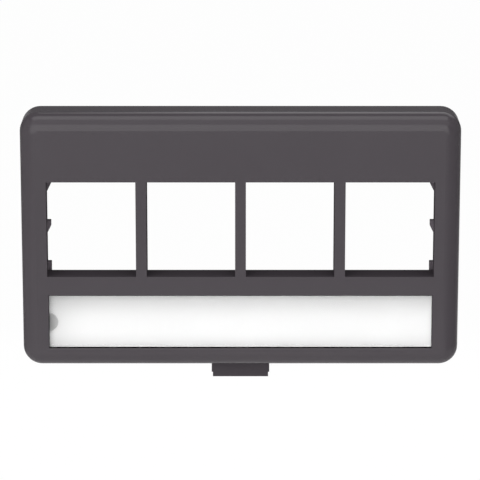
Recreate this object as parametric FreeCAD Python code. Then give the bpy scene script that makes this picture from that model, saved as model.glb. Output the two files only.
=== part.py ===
import FreeCAD, Part
import os

# Four-port modular-furniture faceplate: a round-edged frame that snaps into a panel cut-out, with
# four keystone windows over a label pocket, a paper card and a clear snap-in label cover.
#
# Frame: the origin is the centre of the panel cut-out, in the plane of the panel's front.
# +X runs to the right as the user sees it, +Y goes back through the panel, +Z is up.
# All sizes are in millimetres. "Depth" is counted back from the front face.

Vector = FreeCAD.Vector

# ---- Frame and face -----------------------------------------------------------------------------
frame_width = 73.31        # widest outline, which covers the panel cut-out
frame_height = 43.32
frame_corner_radius = 3.2
face_height = 7.7          # front face to the panel
face_edge_radius = 2.72    # large round between the face and the sides
face_wall = 2.2
rim_wall = 1.6
rear_rib_thickness = 1.0   # stiffeners between rim and skirt
rear_rib_count = 4
rear_rib_pitch = 15.0
rear_rib_setback = 0.6     # ribs end this far in front of the panel

# ---- Panel cut-out and skirt --------------------------------------------------------------------
cutout_width = 68.8        # opening that the plate is made for
cutout_height = 34.9
cutout_clearance = 0.38    # between skirt and opening, on each side
skirt_wall = 1.17
skirt_reach = 3.2          # how far the skirt goes past the panel's front
skirt_corner_radius = 1.2
panel_grip = 1.7           # thickest panel that the hooks and the latch clip over

# ---- Keystone ports -----------------------------------------------------------------------------
port_count = 4
port_width = 14.76
port_height = 16.2
divider_width = 1.8        # bar between two windows
end_relief = 0.1           # outer sides of the end windows stand out this much further
port_centre_z = 2.155
sill_depth = 4.81          # front face to the rear edge of sills and dividers
sill_thickness = 1.4
rail_depth = 9.8           # front face to the rear of the catch rails and fins
rail_thickness = 1.4
catch_gap = 1.2            # slot under the sill that takes a jack's fixed lug
fin_width = 1.5            # thinner rear part of the dividers

# ---- Guide ribs at the outer side of the end ports ----------------------------------------------
guide_inset = 0.31         # how far the ribs stand in from the window's outer edge
guide_front = 7.0          # front face to the ribs' front
guide_thickness = 1.0
guide_fall = 2.0           # steepness of the sloped ends of nub and gusset
nub_drop = 8.14            # window's top edge to the nub's flat top
nub_flat = 0.93
step_height = 0.89         # step behind the sill, above it
gusset_inset = 0.4         # the gusset's own inset from the window's outer edge
gusset_drop = 1.74         # window's top edge to the start of the gusset's slope

# ---- Label pocket, card and cover ---------------------------------------------------------------
label_width = 64.18
label_height = 9.12
label_gap = 3.29           # rail between port windows and label window
pocket_edge_break = 0.16
pocket_floor = 1.2
pocket_border = 1.1        # floor plate beyond the pocket's edges
cover_thickness = 1.0
cover_recess = 0.12        # cover's front below the face
cover_clearance = 0.03     # at the cover's ends and top, and between cover and card
nail_gap = 0.24           # under the cover, for lifting it with a nail
cover_edge_radius = 0.05
card_thickness = 0.25
card_clearance = 0.03
scoop_radius = 1.5         # half-round prise scoop at the cover's left end
scoop_depth = 0.6
scoop_offset = 0.09        # scoop's centre beyond that end

# ---- Top hooks, bottom latch and release tab ----------------------------------------------------
hook_width = 8.0
hook_spacing = 40.0
hook_overlap = 0.85        # how far a hook or the catch reaches behind the panel
hook_thickness = 1.5
latch_gap = 0.6            # free space on each side of the latch in its slots
arm_width = 9.8
arm_thickness = 1.2
arm_setback = 0.2          # panel's front to the arm's front
foot_thickness = 1.2
tab_standoff = 1.4         # panel's front to the tab's rear
tab_thickness = 1.2
tab_reach = 3.11           # how far the tab hangs below the frame
lip_width = 9.4
lip_height = 0.8
catch_land = 0.5           # flat tip of the catch, before its slope

# ---- Joining and cutting ------------------------------------------------------------------------
weld = 0.3                 # walls run this far into what they join
overshoot = 1.0            # cutters run this far past the faces they open
tolerance = 1e-4           # for picking edges by their place

# ---- Places worked out from the sizes above -----------------------------------------------------
front_y = -face_height
skirt_width = cutout_width - 2 * cutout_clearance
skirt_height = cutout_height - 2 * cutout_clearance
skirt_inner_x = skirt_width / 2 - skirt_wall
skirt_inner_z = skirt_height / 2 - skirt_wall
port_pitch = port_width + divider_width
ports_left = -(port_count * port_pitch - divider_width) / 2
window_left = ports_left - end_relief
port_top = port_centre_z + port_height / 2
port_bottom = port_centre_z - port_height / 2
label_top = port_bottom - label_gap
label_bottom = label_top - label_height
label_centre_z = (label_top + label_bottom) / 2
card_front = cover_recess + cover_thickness + cover_clearance
pocket_depth = card_front + card_thickness
lower_rail_top = port_bottom - sill_thickness - catch_gap
lower_rail_bottom = lower_rail_top - rail_thickness


def at_depth(depth):
    """Y of a place this far back from the front face."""
    return front_y + depth


def block(x_low, x_high, y_low, y_high, z_low, z_high):
    """Box between two corners."""
    return Part.makeBox(x_high - x_low, y_high - y_low, z_high - z_low, Vector(x_low, y_low, z_low))


def edges_in_plane(shape, y):
    """Edges of a shape that lie wholly in the plane at this Y."""
    return [edge for edge in shape.Edges
            if abs(edge.BoundBox.YMin - y) < tolerance and abs(edge.BoundBox.YMax - y) < tolerance]


def edges_along_y(shape):
    """Straight edges that run from front to back."""
    return [edge for edge in shape.Edges
            if edge.BoundBox.XLength < tolerance and edge.BoundBox.ZLength < tolerance]


def rounded_slab(width, height, radius, y_low, y_high):
    """Rectangle with round corners, centred on the Y axis and extruded along it."""
    slab = block(-width / 2, width / 2, y_low, y_high, -height / 2, height / 2)
    return slab.makeFillet(radius, edges_along_y(slab))


def prism_along_y(points, y_low, y_high):
    """Polygon of (x, z) points, extruded from front to back."""
    wire = Part.makePolygon([Vector(x, y_low, z) for x, z in points + points[:1]])
    return Part.Face(wire).extrude(Vector(0, y_high - y_low, 0))


def prism_along_x(points, x_low, x_high):
    """Polygon of (y, z) points, extruded from left to right."""
    wire = Part.makePolygon([Vector(x_low, y, z) for y, z in points + points[:1]])
    return Part.Face(wire).extrude(Vector(x_high - x_low, 0, 0))


def make_frame():
    """Frame with a large round from its sides to the face, hollow from the rear."""
    outside = rounded_slab(frame_width, frame_height, frame_corner_radius, front_y, 0)
    outside = outside.makeFillet(face_edge_radius, edges_in_plane(outside, front_y))
    hollow = rounded_slab(frame_width - 2 * rim_wall, frame_height - 2 * rim_wall,
                          frame_corner_radius - rim_wall, at_depth(face_wall), overshoot)
    return outside.cut(hollow)


def make_skirt():
    """Ring that enters the panel cut-out."""
    start = at_depth(face_wall) - weld
    outer = rounded_slab(skirt_width, skirt_height, skirt_corner_radius, start, skirt_reach)
    inner = block(-skirt_inner_x, skirt_inner_x, start - overshoot, skirt_reach + overshoot,
                  -skirt_inner_z, skirt_inner_z)
    return outer.cut(inner)


def make_rear_ribs():
    """Stiffeners between the rim and the skirt, above and below."""
    start = at_depth(face_wall) - weld
    inner = skirt_height / 2 - weld
    outer = frame_height / 2 - rim_wall + weld
    ribs = []
    for index in range(rear_rib_count):
        x = (index - (rear_rib_count - 1) / 2) * rear_rib_pitch
        for z_low, z_high in ((inner, outer), (-outer, -inner)):
            ribs.append(block(x - rear_rib_thickness / 2, x + rear_rib_thickness / 2,
                              start, -rear_rib_setback, z_low, z_high))
    return ribs


def make_port_walls():
    """Sill and header plates, dividers with thinner rear fins, and the two catch rails."""
    start = at_depth(face_wall) - weld
    side = skirt_inner_x + weld
    rail_rear = at_depth(rail_depth)
    walls = [
        block(-side, side, start, at_depth(sill_depth), port_bottom - sill_thickness, port_bottom),
        block(-side, side, start, rail_rear, port_top, port_top + rail_thickness),
        block(-side, side, start, rail_rear, lower_rail_bottom, lower_rail_top),
    ]
    for index in range(1, port_count):
        x = ports_left + index * port_pitch - divider_width / 2
        walls.append(block(x - divider_width / 2, x + divider_width / 2,
                           start, at_depth(sill_depth), port_bottom, port_top))
        walls.append(block(x - fin_width / 2, x + fin_width / 2,
                           start, rail_rear, lower_rail_bottom, port_top))
    return walls


def make_guide_ribs():
    """Gusset, nub and step at the outer side of the first and the last port."""
    face = -window_left - guide_inset
    gusset_face = -window_left - gusset_inset
    side = skirt_inner_x + weld
    gusset_z = port_top - gusset_drop
    nub_top = port_top - nub_drop
    nub_z = nub_top - nub_flat
    step_foot = port_bottom - sill_thickness
    step_top = port_bottom + step_height
    profiles = [
        [(gusset_face, port_top), (side, port_top),
         (side, gusset_z - guide_fall * (side - gusset_face)), (gusset_face, gusset_z)],
        [(face, nub_top), (side, nub_top), (side, nub_z - guide_fall * (side - face)), (face, nub_z)],
        [(face, step_foot), (side, step_foot), (side, step_top), (face, step_top)],
    ]
    start = at_depth(guide_front)
    return [prism_along_y([(mirror * x, z) for x, z in points], start, start + guide_thickness)
            for points in profiles for mirror in (-1, 1)]


def make_pocket_floor():
    """Plate behind the label pocket."""
    half_width = label_width / 2 + pocket_border
    return block(-half_width, half_width,
                 at_depth(face_wall) - weld, at_depth(pocket_depth + pocket_floor),
                 label_bottom - pocket_border, label_top + pocket_border)


def make_pocket():
    """Label pocket in the face, with its front edges broken."""
    half_width = label_width / 2
    pocket = block(-half_width, half_width, front_y, at_depth(pocket_depth), label_bottom, label_top)
    flare = pocket_edge_break
    mouth = Part.makeWedge(-half_width - flare, front_y, label_bottom - flare,
                           label_bottom, -half_width,
                           half_width + flare, front_y + flare, label_top + flare,
                           label_top, half_width)
    return pocket.fuse(mouth)


def make_top_hooks():
    """Two fixed hooks on the skirt that reach behind the panel's upper edge."""
    base_z = skirt_height / 2 - weld
    tip_z = cutout_height / 2 + hook_overlap
    rear_y = panel_grip + hook_thickness
    lead = tip_z - skirt_height / 2
    profile = [(panel_grip, base_z), (panel_grip, tip_z), (rear_y - lead / 2, tip_z),
               (rear_y, tip_z - lead), (rear_y, base_z)]
    return [prism_along_x(profile, x - hook_width / 2, x + hook_width / 2)
            for x in (-hook_spacing / 2, hook_spacing / 2)]


def make_latch():
    """Springy arm under the lower rail; its foot has a catch behind the panel and a tab before it."""
    arm_front = arm_setback
    arm_rear = arm_setback + arm_thickness
    foot_bottom = -skirt_height / 2
    foot_top = foot_bottom + foot_thickness
    catch_rear = panel_grip + hook_thickness
    catch_tip = -cutout_height / 2 - hook_overlap
    tab_rear = -tab_standoff
    tab_front = tab_rear - tab_thickness
    tab_tip = -frame_height / 2 - tab_reach
    arm_root = lower_rail_bottom + weld
    profile = [
        (arm_front, arm_root), (arm_rear, arm_root), (arm_rear, foot_top), (catch_rear, foot_top),
        (catch_rear, foot_bottom), (panel_grip + catch_land, catch_tip), (panel_grip, catch_tip),
        (panel_grip, foot_bottom), (tab_rear, foot_bottom), (tab_rear, tab_tip + lip_height),
        (tab_front, tab_tip + lip_height), (tab_front, foot_top), (arm_front, foot_top),
    ]
    arm = prism_along_x(profile, -arm_width / 2, arm_width / 2)
    lip = block(-lip_width / 2, lip_width / 2, tab_front, tab_rear, tab_tip, tab_tip + lip_height)
    return arm.fuse(lip)


def make_latch_slots():
    """Slots in skirt and rim that let the latch pass and flex."""
    half_width = arm_width / 2 + latch_gap
    tab_front = -tab_standoff - tab_thickness
    skirt_slot = block(-half_width, half_width,
                       at_depth(pocket_depth + pocket_floor), skirt_reach + overshoot,
                       -skirt_height / 2 - overshoot, -skirt_inner_z + overshoot)
    rim_slot = block(-half_width, half_width, tab_front - latch_gap, overshoot,
                     -frame_height / 2 - overshoot, -frame_height / 2 + rim_wall + overshoot)
    return [skirt_slot, rim_slot]


def make_windows():
    """Through cuts of the four ports in the face; the first and the last are wider by the relief."""
    windows = []
    for index in range(port_count):
        left = ports_left + index * port_pitch
        right = left + port_width
        if index == 0:
            left = window_left
        if index == port_count - 1:
            right = -window_left
        windows.append(block(left, right, front_y - overshoot, at_depth(face_wall),
                             port_bottom, port_top))
    return windows


def make_faceplate_body():
    """The whole one-piece moulding."""
    shell = make_frame()
    shell = shell.fuse([make_skirt(), make_pocket_floor()] + make_rear_ribs())
    shell = shell.cut(make_windows() + make_latch_slots() + [make_pocket()])
    shell = shell.fuse(make_port_walls() + make_guide_ribs() + make_top_hooks() + [make_latch()])
    return shell.removeSplitter()


def make_label_card():
    """Paper strip lying on the pocket's floor."""
    gap = card_clearance
    return block(-label_width / 2 + gap, label_width / 2 - gap,
                 at_depth(card_front), at_depth(pocket_depth),
                 label_bottom + gap, label_top - gap)


def make_label_cover():
    """Clear strip that closes the pocket, with a half-round scoop at its left end."""
    gap = cover_clearance
    left = -label_width / 2 + gap
    cover = block(left, -left, at_depth(cover_recess), at_depth(cover_recess + cover_thickness),
                  label_bottom + nail_gap, label_top - gap)
    cover = cover.makeFillet(cover_edge_radius, edges_in_plane(cover, at_depth(cover_recess)))
    scoop_start = Vector(left - scoop_offset, at_depth(cover_recess) - overshoot, label_centre_z)
    scoop = Part.makeCylinder(scoop_radius, scoop_depth + overshoot, scoop_start, Vector(0, 1, 0))
    return cover.cut(scoop)


pieces = {
    "faceplate_body": make_faceplate_body(),
    "label_card": make_label_card(),
    "label_cover": make_label_cover(),
}

os.makedirs("parts", exist_ok=True)
for name, shape in pieces.items():
    solid = shape.Solids[0] if len(shape.Solids) == 1 else shape
    solid.exportStep("parts/" + name + ".step")
    box = solid.BoundBox
    print(name, "solids", len(shape.Solids), "valid", solid.isValid(), "volume", round(solid.Volume, 2),
          "x", round(box.XMin, 2), round(box.XMax, 2), "y", round(box.YMin, 2), round(box.YMax, 2),
          "z", round(box.ZMin, 2), round(box.ZMax, 2))
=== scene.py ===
"""Furniture faceplate with keystone windows: finishes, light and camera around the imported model.

Everything is in metres in the part's own frame: +X right, +Y back through the panel, +Z up.
"""
import math

import bpy
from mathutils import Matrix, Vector


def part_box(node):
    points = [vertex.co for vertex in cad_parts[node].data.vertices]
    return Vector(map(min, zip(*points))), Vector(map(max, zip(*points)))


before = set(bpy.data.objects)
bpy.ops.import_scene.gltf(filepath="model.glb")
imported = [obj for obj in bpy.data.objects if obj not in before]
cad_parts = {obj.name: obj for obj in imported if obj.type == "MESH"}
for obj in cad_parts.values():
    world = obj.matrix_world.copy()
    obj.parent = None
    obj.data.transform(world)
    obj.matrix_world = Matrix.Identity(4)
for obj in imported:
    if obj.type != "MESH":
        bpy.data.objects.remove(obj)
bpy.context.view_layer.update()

# ---- Zones of the plate with a finish of their own, painted shadow or painted light -------------
MM = 0.001
body_low, body_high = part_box("faceplate_body")
cover_low, cover_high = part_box("label_cover")
card_low, card_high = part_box("label_card")

FACE_Y = body_low.y
ZONE_EDGE = 0.05 * MM               # softness of a zone's edge
ZONE_MARGIN = 0.06 * MM             # how far a zone reaches past the walls that it covers

PORT_TOP = 10.255 * MM              # of the four windows, from the height of the face's centre
PORT_FOOT = -5.945 * MM
PORTS_HALF_WIDTH = 33.0 * MM
PORTS_ZONE = ((-PORTS_HALF_WIDTH, FACE_Y + ZONE_EDGE, PORT_FOOT - ZONE_MARGIN),
              (PORTS_HALF_WIDTH, body_high.y + ZONE_MARGIN, PORT_TOP + ZONE_MARGIN))

RIB_INNER = 31.6 * MM               # the ribs' fronts lie between these two, on each side
RIB_OUTER = 32.83 * MM
RIB_FRONT = FACE_Y + 7.0 * MM
RIB_FOOT = PORT_FOOT - 1.4 * MM
RIB_SKIN = 0.05 * MM                # depth of the paler tone, painted light, on the ribs' fronts
RIB_EDGE = 0.2 * RIB_SKIN
# the ribs' fronts get painted light: a paler tone where they lie in shade
RIB_LIGHT_ZONES = [((left, RIB_FRONT - RIB_SKIN, RIB_FOOT), (right, RIB_FRONT + RIB_SKIN, PORT_TOP))
             for left, right in ((-RIB_OUTER, -RIB_INNER), (RIB_INNER, RIB_OUTER))]

POCKET_FOOT = -18.355 * MM          # lower wall of the label's pocket
POCKET_EDGE = 0.16 * MM             # broken front edge of the pocket
COVER_GAP = 0.03 * MM               # above the cover and at its ends
LABEL_CENTRE_Z = (POCKET_FOOT + cover_high.z + COVER_GAP) / 2
# gap under the cover's foot, coloured near black as painted shadow
GAP_SHADOW_ZONE = ((cover_low.x - ZONE_MARGIN, FACE_Y + POCKET_EDGE, POCKET_FOOT - ZONE_MARGIN),
            (cover_high.x + ZONE_MARGIN, card_high.y + ZONE_MARGIN, POCKET_FOOT + ZONE_MARGIN))

TAB_HALF_WIDTH = 6.0 * MM
TAB_TOP = -21.6 * MM
TAB_ZONE = ((-TAB_HALF_WIDTH, FACE_Y, body_low.z - ZONE_MARGIN), (TAB_HALF_WIDTH, 0, TAB_TOP))

SCOOP_RADIUS = 1.5 * MM
SCOOP_OFFSET = 0.09 * MM            # its centre lies this far beyond the cover's end
SCOOP_DEPTH = 0.6 * MM
SCOOP_EDGE = 0.02 * MM              # softness of its mask

# ---- Tones, finishes, painted shade and painted light -------------------------------------------
DRIFT_SCALE = 90.0                  # patches of the slow drift, about 11 mm wide
GRAIN_HEIGHT = 0.01 * MM
BODY_GREY = (0.0470, 0.0406, 0.0466, 1)
BODY_COAT = 0.52                    # strength of the satin sheen, which is a thin coat
BODY_COAT_ROUGHNESS = 0.2
TAB_MATT = 0.65                     # share of the sheen that the release tab lacks
# paler tone on the ribs' fronts: painted light
RIB_PAINTED_LIGHT = (0.15, 0.131, 0.149, 1)
# near black of the gap under the cover: painted shadow
GAP_PAINTED_SHADOW = (0.001, 0.001, 0.001, 1)
CARD_WHITE = (0.985, 0.985, 0.983, 1)
CARD_SPECULAR = 0.2
FADE_PEAK = 0.4                     # brightest line of the card between its painted shade at top and foot, as a share of its height
ACRYLIC_IOR = 1.49
COVER_POLISH = 0.02                 # roughness of the cover outside its scoop
SCOOP_FROST = 0.5                   # roughness of the scoop
CLEAR_TINT = (1.0, 1.0, 1.0, 1)
SCOOP_SHADE_LEFT = (0.42, 0.42, 0.42, 1)  # tint of the frosted scoop at its left: grey painted shade, darkest here
SCOOP_SHADE_RIGHT = (0.6, 0.6, 0.6, 1)     # and at its right, where the painted shade is lighter

# ---- Camera -------------------------------------------------------------------------------------
VIEW_TILT = math.radians(14.0)      # camera above the horizon
VIEW_DISTANCE = 476.7 * MM          # from the face's centre
SENSOR_WIDTH = 36.0                 # of the camera, in millimetres as Blender has it
FOCAL_LENGTH = 214.5                # likewise
SIDE_STEP = -0.083 * MM             # camera and aim point beside the face's centre
AIM_RISE = 0.433 * MM               # the aim point's height over the face's centre

# ---- Light --------------------------------------------------------------------------------------
FLOOR_DROP = 0.3                    # floor below the face's centre
FLOOR_HALF_WIDTH = 4.0
FLOOR_PALE = (0.93, 0.93, 0.93, 1)
FLOOR_SHOW = 0.03                   # share of the floor's own shade in what the camera sees of it
BACKDROP_WHITE = (1.0, 1.0, 1.0, 1)
WORLD_LIGHT = 0.65                  # even light on every side
WORLD_GLOSS = 0.22                  # what glossy surfaces mirror between the softboxes
SOFTBOX_DISTANCE = 1.0
SOFTBOXES = {                       # elevation, bearing, width, height, radiance, rays that miss it
    "front_softbox": (14, -8, 1.43, 0.81, 2.2, ()),
    "top_softbox": (86, 0, 1.15, 0.56, 2.3, ()),
    "fill_softbox": (54, 0, 1.5, 0.5, 0.9, ()),
    "rear_softbox": (38, 158.5, 0.8, 0.5, 1.4, ("diffuse",)),
    "left_softbox": (20, -75, 1.2, 1.0, 0.38, ()),
    "back_softbox": (3, 180, 1.6, 0.5, 1.6, ("camera", "transmission", "glossy"))}
FLAG_GREY = (0.35, 0.35, 0.35, 1)
FLAG_FOOT = -0.29                   # height of the flags' lower edge
FLAGS = {                           # two floor points (x, y) and the height of the upper edge
    "tall_right_flag": ((0.9, -0.6), (0.9, 0.8), 1.0),
    "low_right_flag": ((0.3, -1.15), (0.55, -0.3), -0.12),
    "left_flag": ((-0.6, 0.15), (-0.15, 0.6), 0.05)}


# ---- Node helpers -------------------------------------------------------------------------------
def new_material(name):
    """Empty node material; returns (material, node tree, its Surface input)."""
    material = bpy.data.materials.new(name)
    material.use_nodes = True
    tree = material.node_tree
    tree.nodes.clear()
    return material, tree, tree.nodes.new("ShaderNodeOutputMaterial").inputs["Surface"]


def new_group(name, inputs, outputs):
    """Shader node group; returns (group, what comes in, what goes out), the last two by name."""
    group = bpy.data.node_groups.new(name, "ShaderNodeTree")
    for socket_name, kind, value in inputs:
        socket = group.interface.new_socket(socket_name, in_out="INPUT", socket_type=kind)
        socket.default_value = value
    for socket_name, kind in outputs:
        group.interface.new_socket(socket_name, in_out="OUTPUT", socket_type=kind)
    return (group, group.nodes.new("NodeGroupInput").outputs,
            group.nodes.new("NodeGroupOutput").inputs)


def place_group(tree, group, **values):
    """Instance of a group with its inputs set by name; returns its outputs."""
    node = tree.nodes.new("ShaderNodeGroup")
    node.node_tree = group
    for socket_name, value in values.items():
        node.inputs[socket_name.replace("_", " ")].default_value = value
    return node.outputs


def feed(tree, operand, socket):
    """Puts an operand, which is a socket or a plain value, into an input socket."""
    if isinstance(operand, bpy.types.NodeSocket):
        tree.links.new(operand, socket)
    else:
        socket.default_value = operand


def math_node(tree, operation, first, second, clamp=False):
    """Math of two operands, each a socket or a number."""
    node = tree.nodes.new("ShaderNodeMath")
    node.operation = operation
    node.use_clamp = clamp
    feed(tree, first, node.inputs[0])
    feed(tree, second, node.inputs[1])
    return node.outputs[0]


def scale_colour(tree, colour, factor):
    """Colour times a factor."""
    node = tree.nodes.new("ShaderNodeVectorMath")
    node.operation = "SCALE"
    tree.links.new(colour, node.inputs[0])
    tree.links.new(factor, node.inputs["Scale"])
    return node.outputs[0]


def mix_colour(tree, factor, first, second):
    """Colour that goes from the first to the second as the factor goes from 0 to 1."""
    node = tree.nodes.new("ShaderNodeMix")
    node.data_type = "RGBA"
    tree.links.new(factor, node.inputs["Factor"])
    feed(tree, first, node.inputs["A"])
    feed(tree, second, node.inputs["B"])
    return node.outputs["Result"]


def mix_shader(tree, factor, first, second):
    """Shader that goes from the first to the second as the factor goes from 0 to 1."""
    node = tree.nodes.new("ShaderNodeMixShader")
    tree.links.new(factor, node.inputs[0])
    tree.links.new(first, node.inputs[1])
    tree.links.new(second, node.inputs[2])
    return node.outputs[0]


def object_place(tree):
    """Place of the shaded point in the part's own frame."""
    return tree.nodes.new("ShaderNodeTexCoord").outputs["Object"]


def split_axes(tree, vector):
    """Outputs X, Y and Z of a vector."""
    node = tree.nodes.new("ShaderNodeSeparateXYZ")
    tree.links.new(vector, node.inputs[0])
    return node.outputs


# ---- Shared effects -----------------------------------------------------------------------------
def make_grain_group():
    """Spark-eroded mould grain: fine noise as a normal, with slow drifts of shade and finish."""
    group, source, result = new_group(
        "mould_grain",
        [("Base", "NodeSocketColor", (0.5, 0.5, 0.5, 1)), ("Shade Drift", "NodeSocketFloat", 0.04),
         ("Finish", "NodeSocketFloat", 0.4), ("Finish Drift", "NodeSocketFloat", 0.05),
         ("Grain Scale", "NodeSocketFloat", 6000.0), ("Grain Depth", "NodeSocketFloat", 0.1)],
        [("Color", "NodeSocketColor"), ("Finish", "NodeSocketFloat"), ("Normal", "NodeSocketVector")])
    place = object_place(group)
    slow = group.nodes.new("ShaderNodeTexNoise")
    slow.inputs["Scale"].default_value = DRIFT_SCALE
    slow.inputs["Detail"].default_value = 3.0
    group.links.new(place, slow.inputs["Vector"])
    centred = math_node(group, "SUBTRACT", slow.outputs["Fac"], 0.5)
    shade = math_node(group, "MULTIPLY", centred, source["Shade Drift"])
    tint = scale_colour(group, source["Base"], math_node(group, "ADD", shade, 1.0))
    group.links.new(tint, result["Color"])
    drift = math_node(group, "MULTIPLY", centred, source["Finish Drift"])
    group.links.new(math_node(group, "ADD", drift, source["Finish"]), result["Finish"])
    fine = group.nodes.new("ShaderNodeTexNoise")
    fine.inputs["Detail"].default_value = 2.0
    group.links.new(place, fine.inputs["Vector"])
    group.links.new(source["Grain Scale"], fine.inputs["Scale"])
    bump = group.nodes.new("ShaderNodeBump")
    bump.inputs["Distance"].default_value = GRAIN_HEIGHT
    group.links.new(source["Grain Depth"], bump.inputs["Strength"])
    group.links.new(fine.outputs["Fac"], bump.inputs["Height"])
    group.links.new(bump.outputs["Normal"], result["Normal"])
    return group


def make_zone_group():
    """Mask of an upright box: the depth under its nearest side over the edge's softness, 0 to 1."""
    group, source, result = new_group(
        "box_zone",
        [("Low", "NodeSocketVector", (0, 0, 0)), ("High", "NodeSocketVector", (1, 1, 1)),
         ("Edge", "NodeSocketFloat", 0.0001)],
        [("Inside", "NodeSocketFloat")])
    place = object_place(group)
    depths = []
    for first, second in ((place, source["Low"]), (source["High"], place)):
        reach = group.nodes.new("ShaderNodeVectorMath")
        reach.operation = "SUBTRACT"
        group.links.new(first, reach.inputs[0])
        group.links.new(second, reach.inputs[1])
        depths += split_axes(group, reach.outputs[0])
    depth = depths[0]
    for other in depths[1:]:
        depth = math_node(group, "MINIMUM", depth, other)
    group.links.new(math_node(group, "DIVIDE", depth, source["Edge"], clamp=True), result["Inside"])
    return group


grain_group = make_grain_group()
zone_group = make_zone_group()


def zone_mask(tree, zone, edge):
    """1 inside a zone of the plate and 0 outside."""
    low, high = zone
    return place_group(tree, zone_group, Low=low, High=high, Edge=edge)["Inside"]


# ---- Body ---------------------------------------------------------------------------------------
def make_body_plastic():
    """Dark warm-grey moulded plastic: satin outside, matt in the ports and in the gap at the label; the gap
    is coloured near black as painted shadow and the ribs' fronts paler as painted light.
    """
    material, tree, surface = new_material("satin_grey_plastic")
    grain = place_group(tree, grain_group, Base=BODY_GREY, Shade_Drift=0.05, Finish=BODY_COAT,
                        Finish_Drift=0.1, Grain_Scale=7000.0, Grain_Depth=0.06)
    ports = zone_mask(tree, PORTS_ZONE, ZONE_EDGE)
    gap_shadow = zone_mask(tree, GAP_SHADOW_ZONE, ZONE_EDGE)
    tab = zone_mask(tree, TAB_ZONE, ZONE_EDGE)
    left_rib_light, right_rib_light = [zone_mask(tree, zone, RIB_EDGE) for zone in RIB_LIGHT_ZONES]

    matt = math_node(tree, "MAXIMUM", math_node(tree, "MAXIMUM", ports, gap_shadow),
                     math_node(tree, "MULTIPLY", tab, TAB_MATT))
    shine = math_node(tree, "SUBTRACT", 1.0, matt)
    # painted shadow: the gap under the cover is coloured near black
    tone = mix_colour(tree, gap_shadow, grain["Color"], GAP_PAINTED_SHADOW)
    # painted light: the ribs' fronts made paler
    tone = mix_colour(tree, math_node(tree, "MAXIMUM", left_rib_light, right_rib_light), tone, RIB_PAINTED_LIGHT)

    shader = tree.nodes.new("ShaderNodeBsdfPrincipled")
    shader.inputs["Specular IOR Level"].default_value = 0.0
    shader.inputs["Coat Roughness"].default_value = BODY_COAT_ROUGHNESS
    tree.links.new(math_node(tree, "MULTIPLY", shine, grain["Finish"]), shader.inputs["Coat Weight"])
    tree.links.new(tone, shader.inputs["Base Color"])
    tree.links.new(grain["Normal"], shader.inputs["Normal"])
    tree.links.new(shader.outputs[0], surface)
    return material


# ---- Label card ---------------------------------------------------------------------------------
def make_card_shade_group():
    """Painted shade of the card: 1 less what it loses towards its top, its foot and its left end.

    Each loss is its share times (1 - distance / reach) to a power, and nothing beyond the reach.
    """
    group, source, result = new_group(
        "card_painted_shade",
        [("Low", "NodeSocketVector", (0, 0, 0)), ("High", "NodeSocketVector", (1, 1, 1)),
         ("Top Fade", "NodeSocketFloat", 0.2), ("Foot Fade", "NodeSocketFloat", 0.1),
         ("End Fade", "NodeSocketFloat", 0.1), ("End Reach", "NodeSocketFloat", 0.004),
         ("Rim Fade", "NodeSocketFloat", 0.1), ("Rim Reach", "NodeSocketFloat", 0.001)],
        [("Shade", "NodeSocketFloat")])
    place, low, high = [split_axes(group, vector)
                        for vector in (object_place(group), source["Low"], source["High"])]
    height = math_node(group, "SUBTRACT", high["Z"], low["Z"])
    from_foot = math_node(group, "DIVIDE", math_node(group, "SUBTRACT", place["Z"], low["Z"]), height)
    from_top = math_node(group, "SUBTRACT", 1.0, from_foot)
    from_end = math_node(group, "SUBTRACT", place["X"], low["X"])
    shade = 1.0
    for share, distance, reach, power in (("Top Fade", from_top, 1.0 - FADE_PEAK, 2.0),
                                          ("Foot Fade", from_foot, FADE_PEAK, 2.5),
                                          ("End Fade", from_end, source["End Reach"], 2.0),
                                          ("Rim Fade", from_end, source["Rim Reach"], 2.0)):
        along = math_node(group, "DIVIDE", distance, reach, clamp=True)
        near = math_node(group, "POWER", math_node(group, "SUBTRACT", 1.0, along), power)
        shade = math_node(group, "SUBTRACT", shade, math_node(group, "MULTIPLY", near, source[share]))
    group.links.new(shade, result["Shade"])
    return group


def make_card_paper():
    """Smooth white card with faint fibres, darkened by painted shade towards its top, its foot and its left
    end.
    """
    material, tree, surface = new_material("white_card")
    grain = place_group(tree, grain_group, Base=CARD_WHITE, Shade_Drift=0.01, Finish=0.8,
                        Finish_Drift=0.05, Grain_Scale=9000.0, Grain_Depth=0.2)
    painted_shade = place_group(tree, make_card_shade_group(), Low=card_low, High=card_high, Top_Fade=0.37,
                       Foot_Fade=0.25, End_Fade=0.17, End_Reach=9.0 * MM, Rim_Fade=0.18,
                       Rim_Reach=1.2 * MM)
    shader = tree.nodes.new("ShaderNodeBsdfPrincipled")
    shader.inputs["Specular IOR Level"].default_value = CARD_SPECULAR
    # the card's white times its painted shade
    tree.links.new(scale_colour(tree, grain["Color"], painted_shade["Shade"]), shader.inputs["Base Color"])
    tree.links.new(grain["Finish"], shader.inputs["Roughness"])
    tree.links.new(grain["Normal"], shader.inputs["Normal"])
    tree.links.new(shader.outputs[0], surface)
    return material


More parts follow.
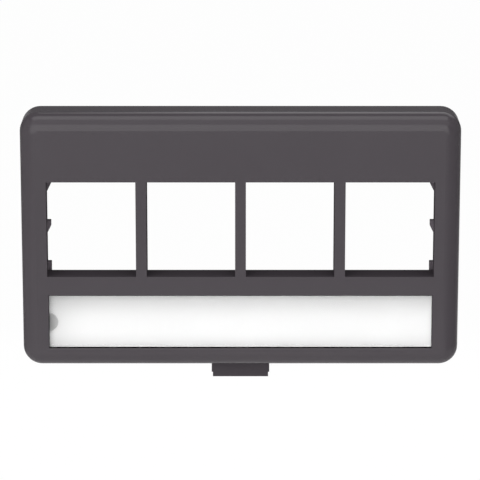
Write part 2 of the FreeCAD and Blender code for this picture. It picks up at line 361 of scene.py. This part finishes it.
# ---- Label cover --------------------------------------------------------------------------------
def make_scoop_group():
    """Masks of the half-round prise scoop: 1 on its surfaces, and a fade from its left to its right that
    lightens its painted shade.

    The first is the depth inside a circle over the edge's softness, in front of the scoop's floor.
    """
    group, source, result = new_group(
        "scoop_mask",
        [("Centre X", "NodeSocketFloat", 0.0), ("Centre Z", "NodeSocketFloat", 0.0),
         ("Floor Y", "NodeSocketFloat", 0.0), ("Radius", "NodeSocketFloat", 0.0015),
         ("Edge", "NodeSocketFloat", 0.00005)],
        [("Inside", "NodeSocketFloat"), ("Fade", "NodeSocketFloat")])
    place = split_axes(group, object_place(group))
    across = math_node(group, "SUBTRACT", place["X"], source["Centre X"])
    upward = math_node(group, "SUBTRACT", place["Z"], source["Centre Z"])
    squared = math_node(group, "ADD", math_node(group, "MULTIPLY", across, across),
                        math_node(group, "MULTIPLY", upward, upward))
    from_centre = math_node(group, "POWER", squared, 0.5)
    depth = math_node(group, "SUBTRACT", source["Radius"], from_centre)
    disc = math_node(group, "DIVIDE", depth, source["Edge"], clamp=True)
    front = math_node(group, "LESS_THAN", place["Y"], source["Floor Y"])
    group.links.new(math_node(group, "MULTIPLY", disc, front), result["Inside"])
    group.links.new(math_node(group, "DIVIDE", across, source["Radius"], clamp=True), result["Fade"])
    return group


def make_cover_clear():
    """Clear polished plastic, frosted inside the scoop with a grey tint that is painted shade, darker at
    its left.
    """
    material, tree, surface = new_material("clear_cover_plastic")
    scoop = place_group(tree, make_scoop_group(), Centre_X=cover_low.x - SCOOP_OFFSET,
                        Centre_Z=LABEL_CENTRE_Z, Floor_Y=cover_low.y + SCOOP_DEPTH + ZONE_MARGIN,
                        Radius=SCOOP_RADIUS + ZONE_MARGIN, Edge=SCOOP_EDGE)
    # painted shade of the scoop, darker at its left
    frosted_shade = mix_colour(tree, scoop["Fade"], SCOOP_SHADE_LEFT, SCOOP_SHADE_RIGHT)
    tint = mix_colour(tree, scoop["Inside"], CLEAR_TINT, frosted_shade)
    frost = math_node(tree, "MULTIPLY", scoop["Inside"], SCOOP_FROST)

    shader = tree.nodes.new("ShaderNodeBsdfPrincipled")
    shader.inputs["Transmission Weight"].default_value = 1.0
    shader.inputs["IOR"].default_value = ACRYLIC_IOR
    tree.links.new(tint, shader.inputs["Base Color"])
    tree.links.new(math_node(tree, "MAXIMUM", frost, COVER_POLISH), shader.inputs["Roughness"])
    tree.links.new(shader.outputs[0], surface)
    return material


def dress(node_name, material):
    """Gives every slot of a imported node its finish."""
    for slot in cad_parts[node_name].material_slots:
        slot.material = material


dress("faceplate_body", make_body_plastic())
dress("label_card", make_card_paper())
dress("label_cover", make_cover_clear())


# ---- Stage --------------------------------------------------------------------------------------
def add_panel(name, corners, material):
    """Flat four-cornered panel of the stage."""
    mesh = bpy.data.meshes.new(name)
    mesh.from_pydata(corners, [], [(0, 1, 2, 3)])
    mesh.materials.append(material)
    panel = bpy.data.objects.new(name, mesh)
    bpy.context.scene.collection.objects.link(panel)
    return panel


def hide_from(thing, rays):
    """Makes a panel or lamp invisible to the named kinds of rays."""
    for ray in rays:
        setattr(thing, "visible_" + ray, False)


def make_floor():
    """Pale floor well below the hung plate; it is white to the camera and clear from underneath."""
    material, tree, surface = new_material("pale_floor")
    diffuse = tree.nodes.new("ShaderNodeBsdfDiffuse")
    diffuse.inputs["Color"].default_value = FLOOR_PALE
    glow = tree.nodes.new("ShaderNodeEmission")
    glow.inputs["Color"].default_value = BACKDROP_WHITE
    clear = tree.nodes.new("ShaderNodeBsdfTransparent")
    path = tree.nodes.new("ShaderNodeLightPath")
    whitened = math_node(tree, "MULTIPLY", path.outputs["Is Camera Ray"], 1.0 - FLOOR_SHOW)
    above = mix_shader(tree, whitened, diffuse.outputs[0], glow.outputs[0])
    underneath = tree.nodes.new("ShaderNodeNewGeometry").outputs["Backfacing"]
    tree.links.new(mix_shader(tree, underneath, above, clear.outputs[0]), surface)
    half = FLOOR_HALF_WIDTH
    add_panel("floor", [(-half, -half, -FLOOR_DROP), (half, -half, -FLOOR_DROP),
                        (half, half, -FLOOR_DROP), (-half, half, -FLOOR_DROP)], material)


def make_world():
    """White to the camera and through clear plastic, dim to glossy rays, and an even light for all else."""
    world = bpy.data.worlds.new("studio")
    bpy.context.scene.world = world
    world.use_nodes = True
    tree = world.node_tree
    tree.nodes.clear()
    light, dim, white = [tree.nodes.new("ShaderNodeBackground") for _ in range(3)]
    light.inputs["Strength"].default_value = WORLD_LIGHT
    dim.inputs["Strength"].default_value = WORLD_GLOSS
    white.inputs["Color"].default_value = BACKDROP_WHITE
    path = tree.nodes.new("ShaderNodeLightPath").outputs
    lighting = mix_shader(tree, path["Is Glossy Ray"], light.outputs[0], dim.outputs[0])
    seen = math_node(tree, "MAXIMUM", path["Is Camera Ray"], path["Is Transmission Ray"])
    output = tree.nodes.new("ShaderNodeOutputWorld")
    tree.links.new(mix_shader(tree, seen, lighting, white.outputs[0]), output.inputs["Surface"])


def make_flags():
    """Upright grey panels, unseen by the camera, which the plate's rounded sides mirror."""
    material, tree, surface = new_material("grey_cloth")
    cloth = tree.nodes.new("ShaderNodeBsdfDiffuse")
    cloth.inputs["Color"].default_value = FLAG_GREY
    tree.links.new(cloth.outputs[0], surface)
    for name, (near, far, top) in FLAGS.items():
        corners = [(*near, FLAG_FOOT), (*far, FLAG_FOOT), (*far, top), (*near, top)]
        hide_from(add_panel(name, corners, material), ("camera", "transmission"))


def around(elevation, bearing, distance):
    """Place at an elevation and bearing in degrees; bearing 0 is in front and grows to the right."""
    tilt, turn = math.radians(elevation), math.radians(bearing)
    return (distance * math.cos(tilt) * math.sin(turn), -distance * math.cos(tilt) * math.cos(turn),
            distance * math.sin(tilt))


def aim(thing, place, target):
    """Puts a lamp or camera at a place and turns it towards a target."""
    thing.location = place
    thing.rotation_euler = (Vector(target) - Vector(place)).to_track_quat("-Z", "Y").to_euler()


def add_softbox(name, elevation, bearing, width, height, radiance, hidden_rays):
    """Rectangular area lamp turned towards the plate."""
    lamp = bpy.data.lights.new(name, "AREA")
    lamp.shape = "RECTANGLE"
    lamp.size = width
    lamp.size_y = height
    lamp.energy = radiance * math.pi * width * height
    softbox = bpy.data.objects.new(name, lamp)
    bpy.context.scene.collection.objects.link(softbox)
    aim(softbox, around(elevation, bearing, SOFTBOX_DISTANCE), (0, 0, 0))
    hide_from(softbox, hidden_rays)


def make_camera():
    """Long-lens camera in front of the face and a little above it."""
    data = bpy.data.cameras.new("camera")
    data.sensor_width = SENSOR_WIDTH
    data.lens = FOCAL_LENGTH
    data.clip_start = 0.01
    data.clip_end = 50.0
    camera = bpy.data.objects.new("camera", data)
    bpy.context.scene.collection.objects.link(camera)
    centre = Vector((SIDE_STEP, FACE_Y, 0))
    back = Vector((0, -math.cos(VIEW_TILT), math.sin(VIEW_TILT)))
    aim(camera, centre + back * VIEW_DISTANCE, centre + Vector((0, 0, AIM_RISE)))
    bpy.context.scene.camera = camera


make_floor()
make_flags()
make_world()
for softbox_name, settings in SOFTBOXES.items():
    add_softbox(softbox_name, *settings)
make_camera()
bpy.context.scene.view_settings.view_transform = "Standard"
